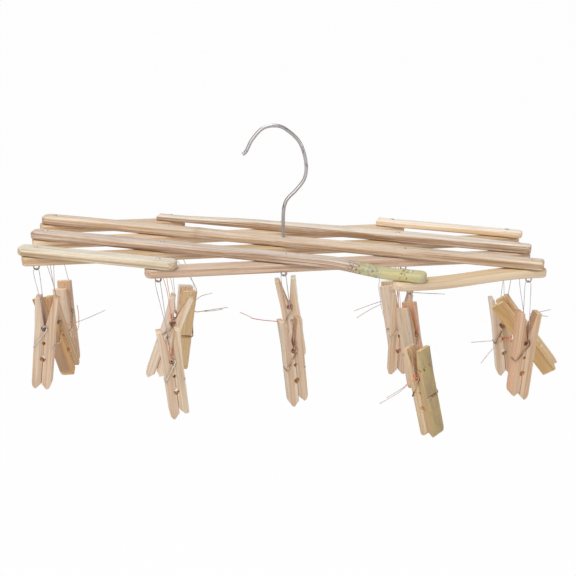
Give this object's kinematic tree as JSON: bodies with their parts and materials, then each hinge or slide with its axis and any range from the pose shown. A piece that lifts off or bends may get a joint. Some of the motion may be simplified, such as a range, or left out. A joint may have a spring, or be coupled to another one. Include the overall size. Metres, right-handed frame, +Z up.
{
  "type": "clip drying rack",
  "caption": "Folding lattice of bamboo sticks under a swivelling wire hook, with sprung wooden pegs hung from its pivots on fine wire loops.",
  "frame": {"origin": "inside top of the hook's crook, the line where it rests on a rail", "axes": "+Z up, +X along the lattice's long way with the hook's mouth towards -X, +Y to the back of the lattice"},
  "size_m": [0.4049, 0.1552, 0.2133],
  "materials": {
    "bamboo": "planed bamboo strip, pale straw to tan, long straight fibres, one stick with grey-green rind",
    "peg_wood": "sawn bamboo and soft wood, matte, beige to orange tan, one jaw with green rind",
    "hook_steel": "bright drawn steel wire",
    "spring_steel": "dull steel spring wire with fine pale wire loops"
  },
  "bodies": {
    "hook": {"hook": "hook_steel"},
    "upper_stick_1": {"upper_stick_1": "bamboo"},
    "lower_stick_1": {"lower_stick_1": "bamboo"},
    "upper_stick_2": {"upper_stick_2": "bamboo"},
    "lower_stick_2": {"lower_stick_2": "bamboo"},
    "upper_stick_3": {"upper_stick_3": "bamboo"},
    "lower_stick_3": {"lower_stick_3": "bamboo"},
    "upper_stick_4": {"upper_stick_4": "bamboo"},
    "lower_stick_4": {"lower_stick_4": "bamboo"},
    "upper_stick_5": {"upper_stick_5": "bamboo"},
    "lower_stick_5": {"lower_stick_5": "bamboo"},
    "peg_1a": {"peg_1a_left_jaw": "peg_wood", "peg_1a_spring": "spring_steel"},
    "peg_1a_right_jaw": {"peg_1a_right_jaw": "peg_wood"},
    "peg_1b": {"peg_1b_left_jaw": "peg_wood", "peg_1b_spring": "spring_steel"},
    "peg_1b_right_jaw": {"peg_1b_right_jaw": "peg_wood"},
    "peg_1c": {"peg_1c_left_jaw": "peg_wood", "peg_1c_spring": "spring_steel"},
    "peg_1c_right_jaw": {"peg_1c_right_jaw": "peg_wood"},
    "peg_2a": {"peg_2a_left_jaw": "peg_wood", "peg_2a_spring": "spring_steel"},
    "peg_2a_right_jaw": {"peg_2a_right_jaw": "peg_wood"},
    "peg_2b": {"peg_2b_left_jaw": "peg_wood", "peg_2b_spring": "spring_steel"},
    "peg_2b_right_jaw": {"peg_2b_right_jaw": "peg_wood"},
    "peg_2c": {"peg_2c_left_jaw": "peg_wood", "peg_2c_spring": "spring_steel"},
    "peg_2c_right_jaw": {"peg_2c_right_jaw": "peg_wood"},
    "peg_2d": {"peg_2d_left_jaw": "peg_wood", "peg_2d_spring": "spring_steel"},
    "peg_2d_right_jaw": {"peg_2d_right_jaw": "peg_wood"},
    "peg_3a": {"peg_3a_left_jaw": "peg_wood", "peg_3a_spring": "spring_steel"},
    "peg_3a_right_jaw": {"peg_3a_right_jaw": "peg_wood"},
    "peg_3b": {"peg_3b_left_jaw": "peg_wood", "peg_3b_spring": "spring_steel"},
    "peg_3b_right_jaw": {"peg_3b_right_jaw": "peg_wood"},
    "peg_4a": {"peg_4a_left_jaw": "peg_wood", "peg_4a_spring": "spring_steel"},
    "peg_4a_right_jaw": {"peg_4a_right_jaw": "peg_wood"},
    "peg_4b": {"peg_4b_left_jaw": "peg_wood", "peg_4b_spring": "spring_steel"},
    "peg_4b_right_jaw": {"peg_4b_right_jaw": "peg_wood"},
    "peg_4c": {"peg_4c_left_jaw": "peg_wood", "peg_4c_spring": "spring_steel"},
    "peg_4c_right_jaw": {"peg_4c_right_jaw": "peg_wood"},
    "peg_4d": {"peg_4d_left_jaw": "peg_wood", "peg_4d_spring": "spring_steel"},
    "peg_4d_right_jaw": {"peg_4d_right_jaw": "peg_wood"},
    "peg_5a": {"peg_5a_left_jaw": "peg_wood", "peg_5a_spring": "spring_steel"},
    "peg_5a_right_jaw": {"peg_5a_right_jaw": "peg_wood"},
    "peg_5b": {"peg_5b_left_jaw": "peg_wood", "peg_5b_spring": "spring_steel"},
    "peg_5b_right_jaw": {"peg_5b_right_jaw": "peg_wood"},
    "peg_5c": {"peg_5c_left_jaw": "peg_wood", "peg_5c_spring": "spring_steel"},
    "peg_5c_right_jaw": {"peg_5c_right_jaw": "peg_wood"}
  },
  "joints": [
    {"name": "hook_swivel", "type": "hinge", "parent": "hook", "child": "upper_stick_3", "pos_m": [0.0097, 0, -0.08205], "axis": [0, 0, 1], "continuous": true},
    {"name": "fold", "type": "hinge", "parent": "upper_stick_3", "child": "lower_stick_3", "pos_m": [0.0097, 0, -0.08205], "axis": [0, 0, 1], "range_deg": [-8.8, 121.2]},
    {"name": "lower_stick_1_turn", "type": "hinge", "parent": "upper_stick_3", "child": "lower_stick_1", "pos_m": [0.18598, -0.04526, -0.08205], "axis": [0, 0, 1], "range_deg": [-8.8, 121.2]},
    {"name": "lower_stick_2_turn", "type": "hinge", "parent": "upper_stick_3", "child": "lower_stick_2", "pos_m": [0.09784, -0.02263, -0.08205], "axis": [0, 0, 1], "range_deg": [-8.8, 121.2]},
    {"name": "lower_stick_4_turn", "type": "hinge", "parent": "upper_stick_3", "child": "lower_stick_4", "pos_m": [-0.07844, 0.02263, -0.08205], "axis": [0, 0, 1], "range_deg": [-8.8, 121.2]},
    {"name": "lower_stick_5_turn", "type": "hinge", "parent": "upper_stick_3", "child": "lower_stick_5", "pos_m": [-0.16658, 0.04526, -0.08205], "axis": [0, 0, 1], "range_deg": [-8.8, 121.2]},
    {"name": "upper_stick_1_turn", "type": "hinge", "parent": "lower_stick_3", "child": "upper_stick_1", "pos_m": [-0.16658, -0.04526, -0.08205], "axis": [0, 0, 1], "range_deg": [-121.2, 8.8]},
    {"name": "upper_stick_2_turn", "type": "hinge", "parent": "lower_stick_3", "child": "upper_stick_2", "pos_m": [-0.07844, -0.02263, -0.08205], "axis": [0, 0, 1], "range_deg": [-121.2, 8.8]},
    {"name": "upper_stick_4_turn", "type": "hinge", "parent": "lower_stick_3", "child": "upper_stick_4", "pos_m": [0.09784, 0.02263, -0.08205], "axis": [0, 0, 1], "range_deg": [-121.2, 8.8]},
    {"name": "upper_stick_5_turn", "type": "hinge", "parent": "lower_stick_3", "child": "upper_stick_5", "pos_m": [0.18598, 0.04526, -0.08205], "axis": [0, 0, 1], "range_deg": [-121.2, 8.8]},
    {"name": "peg_1a_swing", "type": "hinge", "parent": "upper_stick_1", "child": "peg_1a", "pos_m": [-0.16658, -0.04526, -0.09685], "axis": [0, 1, 0], "range_deg": [-45, 45]},
    {"name": "peg_1a_squeeze", "type": "hinge", "parent": "peg_1a", "child": "peg_1a_right_jaw", "pos_m": [-0.16088, -0.04526, -0.14155], "axis": [0, -1, 0], "range_deg": [0, 18], "stiffness_Nm_per_rad": 0.06, "springref_deg": -14.32, "deforming": ["peg_1a_spring"]},
    {"name": "peg_1b_swing", "type": "hinge", "parent": "upper_stick_2", "child": "peg_1b", "pos_m": [-0.16658, 0, -0.09685], "axis": [0, 1, 0], "range_deg": [-45, 45]},
    {"name": "peg_1b_squeeze", "type": "hinge", "parent": "peg_1b", "child": "peg_1b_right_jaw", "pos_m": [-0.16208, 0, -0.15305], "axis": [0.8236, -0.5, 0.2676], "range_deg": [0, 18], "stiffness_Nm_per_rad": 0.06, "springref_deg": -14.32, "deforming": ["peg_1b_spring"]},
    {"name": "peg_1c_swing", "type": "hinge", "parent": "upper_stick_3", "child": "peg_1c", "pos_m": [-0.16658, 0.04526, -0.09685], "axis": [0, 1, 0], "range_deg": [-45, 45]},
    {"name": "peg_1c_squeeze", "type": "hinge", "parent": "peg_1c", "child": "peg_1c_right_jaw", "pos_m": [-0.15988, 0.04526, -0.15855], "axis": [0.9794, -0.1736, 0.1029], "range_deg": [0, 18], "stiffness_Nm_per_rad": 0.06, "springref_deg": -14.32, "deforming": ["peg_1c_spring"]},
    {"name": "peg_2a_swing", "type": "hinge", "parent": "upper_stick_1", "child": "peg_2a", "pos_m": [-0.07844, -0.06789, -0.09685], "axis": [0, 1, 0], "range_deg": [-45, 45]},
    {"name": "peg_2a_squeeze", "type": "hinge", "parent": "peg_2a", "child": "peg_2a_right_jaw", "pos_m": [-0.06854, -0.06789, -0.15605], "axis": [0.172, -0.9848, 0.0242], "range_deg": [0, 18], "stiffness_Nm_per_rad": 0.06, "springref_deg": -14.32, "deforming": ["peg_2a_spring"]},
    {"name": "peg_2b_swing", "type": "hinge", "parent": "upper_stick_2", "child": "peg_2b", "pos_m": [-0.07844, -0.02263, -0.09685], "axis": [0, 1, 0], "range_deg": [-45, 45]},
    {"name": "peg_2b_squeeze", "type": "hinge", "parent": "peg_2b", "child": "peg_2b_right_jaw", "pos_m": [-0.07044, -0.02263, -0.14315], "axis": [0, -1, 0], "range_deg": [0, 18], "stiffness_Nm_per_rad": 0.06, "springref_deg": -14.32, "deforming": ["peg_2b_spring"]},
    {"name": "peg_2c_swing", "type": "hinge", "parent": "upper_stick_3", "child": "peg_2c", "pos_m": [-0.07844, 0.02263, -0.09685], "axis": [0, 1, 0], "range_deg": [-45, 45]},
    {"name": "peg_2c_squeeze", "type": "hinge", "parent": "peg_2c", "child": "peg_2c_right_jaw", "pos_m": [-0.06404, 0.02263, -0.15345], "axis": [-0.9567, -0.2756, 0.0938], "range_deg": [0, 18], "stiffness_Nm_per_rad": 0.06, "springref_deg": -14.32, "deforming": ["peg_2c_spring"]},
    {"name": "peg_2d_swing", "type": "hinge", "parent": "upper_stick_4", "child": "peg_2d", "pos_m": [-0.07844, 0.06789, -0.09685], "axis": [0, 1, 0], "range_deg": [-45, 45]},
    {"name": "peg_2d_squeeze", "type": "hinge", "parent": "peg_2d", "child": "peg_2d_right_jaw", "pos_m": [-0.06684, 0.06789, -0.16685], "axis": [-0.9623, -0.2588, 0.0842], "range_deg": [0, 18], "stiffness_Nm_per_rad": 0.06, "springref_deg": -14.32, "deforming": ["peg_2d_spring"]},
    {"name": "peg_3a_swing", "type": "hinge", "parent": "upper_stick_2", "child": "peg_3a", "pos_m": [0.0097, -0.04526, -0.09685], "axis": [0, 1, 0], "range_deg": [-45, 45]},
    {"name": "peg_3a_squeeze", "type": "hinge", "parent": "peg_3a", "child": "peg_3a_right_jaw", "pos_m": [0.0177, -0.04526, -0.15365], "axis": [0.2399, -0.9703, 0.0312], "range_deg": [0, 18], "stiffness_Nm_per_rad": 0.06, "springref_deg": -14.32, "deforming": ["peg_3a_spring"]},
    {"name": "peg_3b_swing", "type": "hinge", "parent": "upper_stick_4", "child": "peg_3b", "pos_m": [0.0097, 0.04526, -0.09685], "axis": [0, 1, 0], "range_deg": [-45, 45]},
    {"name": "peg_3b_squeeze", "type": "hinge", "parent": "peg_3b", "child": "peg_3b_right_jaw", "pos_m": [0.0177, 0.04526, -0.14985], "axis": [0, -1, 0], "range_deg": [0, 18], "stiffness_Nm_per_rad": 0.06, "springref_deg": -14.32, "deforming": ["peg_3b_spring"]},
    {"name": "peg_4a_swing", "type": "hinge", "parent": "upper_stick_2", "child": "peg_4a", "pos_m": [0.09784, -0.06789, -0.10135], "axis": [0, 1, 0], "range_deg": [-45, 45]},
    {"name": "peg_4a_squeeze", "type": "hinge", "parent": "peg_4a", "child": "peg_4a_right_jaw", "pos_m": [0.11024, -0.06789, -0.16435], "axis": [-0.698, -0.6947, -0.174], "range_deg": [0, 18], "stiffness_Nm_per_rad": 0.06, "springref_deg": -14.32, "deforming": ["peg_4a_spring"]},
    {"name": "peg_4b_swing", "type": "hinge", "parent": "upper_stick_3", "child": "peg_4b", "pos_m": [0.09784, -0.02263, -0.09685], "axis": [0, 1, 0], "range_deg": [-45, 45]},
    {"name": "peg_4b_squeeze", "type": "hinge", "parent": "peg_4b", "child": "peg_4b_right_jaw", "pos_m": [0.10584, -0.02263, -0.14785], "axis": [0.8486, -0.5, 0.1727], "range_deg": [0, 18], "stiffness_Nm_per_rad": 0.06, "springref_deg": -14.32, "deforming": ["peg_4b_spring"]},
    {"name": "peg_4c_swing", "type": "hinge", "parent": "upper_stick_4", "child": "peg_4c", "pos_m": [0.09784, 0.02263, -0.09685], "axis": [0, 1, 0], "range_deg": [-45, 45]},
    {"name": "peg_4c_squeeze", "type": "hinge", "parent": "peg_4c", "child": "peg_4c_right_jaw", "pos_m": [0.10344, 0.02263, -0.15255], "axis": [0, -1, 0], "range_deg": [0, 18], "stiffness_Nm_per_rad": 0.06, "springref_deg": -14.32, "deforming": ["peg_4c_spring"]},
    {"name": "peg_4d_swing", "type": "hinge", "parent": "upper_stick_5", "child": "peg_4d", "pos_m": [0.09784, 0.06789, -0.09685], "axis": [0, 1, 0], "range_deg": [-45, 45]},
    {"name": "peg_4d_squeeze", "type": "hinge", "parent": "peg_4d", "child": "peg_4d_right_jaw", "pos_m": [0.10084, 0.06789, -0.15885], "axis": [0.9667, -0.1736, 0.1879], "range_deg": [0, 18], "stiffness_Nm_per_rad": 0.06, "springref_deg": -14.32, "deforming": ["peg_4d_spring"]},
    {"name": "peg_5a_swing", "type": "hinge", "parent": "upper_stick_3", "child": "peg_5a", "pos_m": [0.18598, -0.04526, -0.09685], "axis": [0, 1, 0], "range_deg": [-45, 45]},
    {"name": "peg_5a_squeeze", "type": "hinge", "parent": "peg_5a", "child": "peg_5a_right_jaw", "pos_m": [0.18718, -0.04526, -0.14365], "axis": [0.1734, -0.9848, -0.0091], "range_deg": [0, 18], "stiffness_Nm_per_rad": 0.06, "springref_deg": -14.32, "deforming": ["peg_5a_spring"]},
    {"name": "peg_5b_swing", "type": "hinge", "parent": "upper_stick_4", "child": "peg_5b", "pos_m": [0.18598, 0, -0.09685], "axis": [0, 1, 0], "range_deg": [-45, 45]},
    {"name": "peg_5b_squeeze", "type": "hinge", "parent": "peg_5b", "child": "peg_5b_right_jaw", "pos_m": [0.19048, 0, -0.14585], "axis": [0.7103, -0.3907, 0.5855], "range_deg": [0, 18], "stiffness_Nm_per_rad": 0.06, "springref_deg": -14.32, "deforming": ["peg_5b_spring"]},
    {"name": "peg_5c_swing", "type": "hinge", "parent": "upper_stick_5", "child": "peg_5c", "pos_m": [0.18598, 0.04526, -0.09685], "axis": [0, 1, 0], "range_deg": [-45, 45]},
    {"name": "peg_5c_squeeze", "type": "hinge", "parent": "peg_5c", "child": "peg_5c_right_jaw", "pos_m": [0.18778, 0.04526, -0.16085], "axis": [0, -1, 0], "range_deg": [0, 18], "stiffness_Nm_per_rad": 0.06, "springref_deg": -14.32, "deforming": ["peg_5c_spring"]}
  ],
  "couplings": [
    {"joint": "lower_stick_1_turn", "follows": "fold", "ratio": 1},
    {"joint": "lower_stick_2_turn", "follows": "fold", "ratio": 1},
    {"joint": "lower_stick_4_turn", "follows": "fold", "ratio": 1},
    {"joint": "lower_stick_5_turn", "follows": "fold", "ratio": 1},
    {"joint": "upper_stick_1_turn", "follows": "fold", "ratio": -1},
    {"joint": "upper_stick_2_turn", "follows": "fold", "ratio": -1},
    {"joint": "upper_stick_4_turn", "follows": "fold", "ratio": -1},
    {"joint": "upper_stick_5_turn", "follows": "fold", "ratio": -1}
  ]
}
